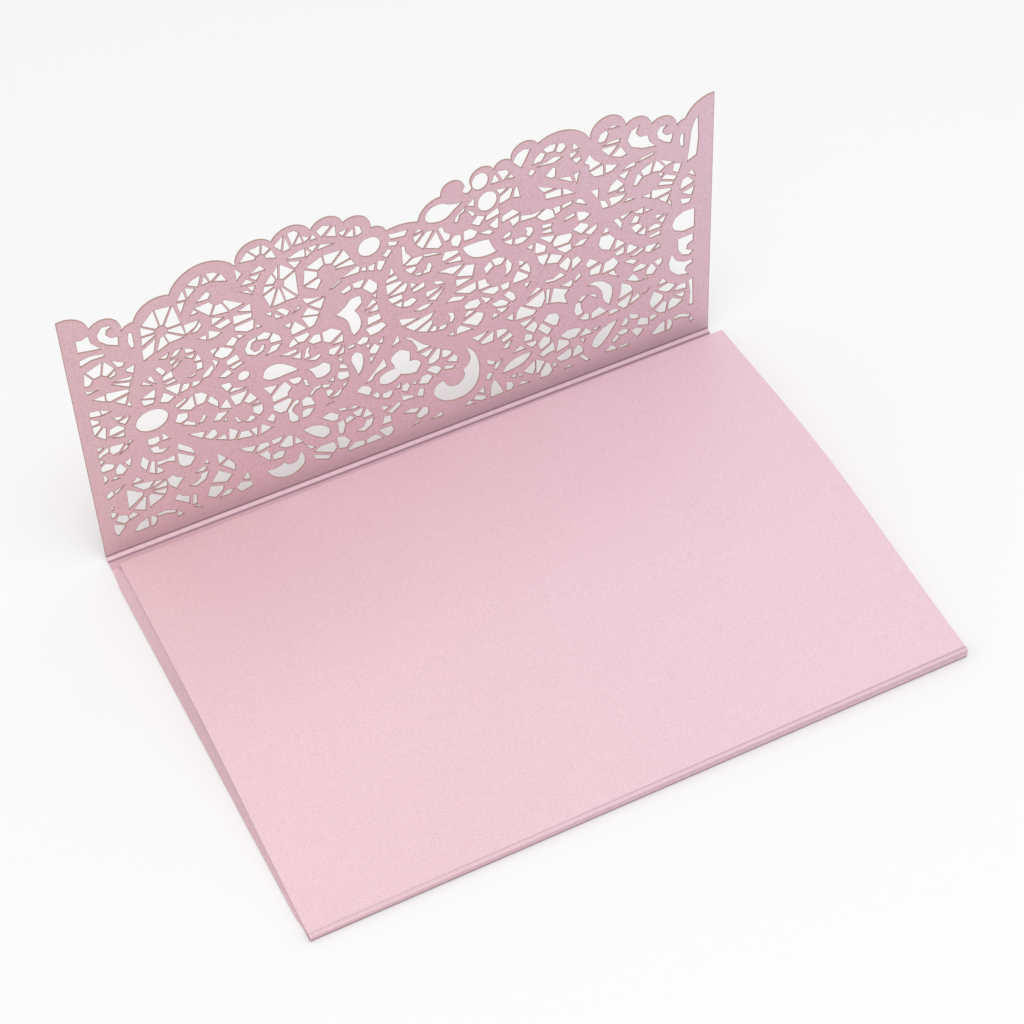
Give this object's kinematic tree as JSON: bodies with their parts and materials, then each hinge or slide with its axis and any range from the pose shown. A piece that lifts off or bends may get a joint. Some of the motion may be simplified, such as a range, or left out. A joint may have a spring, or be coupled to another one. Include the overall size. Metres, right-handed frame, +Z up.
{
  "type": "pocket fold invitation jacket",
  "caption": "Folded pearl card pocket that holds a flat invitation card, with a laser-cut lace flap with a scalloped edge standing up from a double-creased spine.",
  "frame": {"origin": "on the table, under the middle of the back panel", "axes": "+X along the folded pocket's long side, +Y from the front fold to the spine, +Z up"},
  "size_m": [0.1867, 0.1365, 0.0923],
  "materials": {
    "pearl_card": "pearl shimmer coated card, satin",
    "plain_card": "plain uncoated card, matt",
    "tape": "thin double-sided tape"
  },
  "bodies": {
    "root": {"lace_jacket": "pearl_card", "invitation_card": "plain_card", "glue_strip_left": "tape", "glue_strip_right": "tape"}
  },
  "joints": []
}
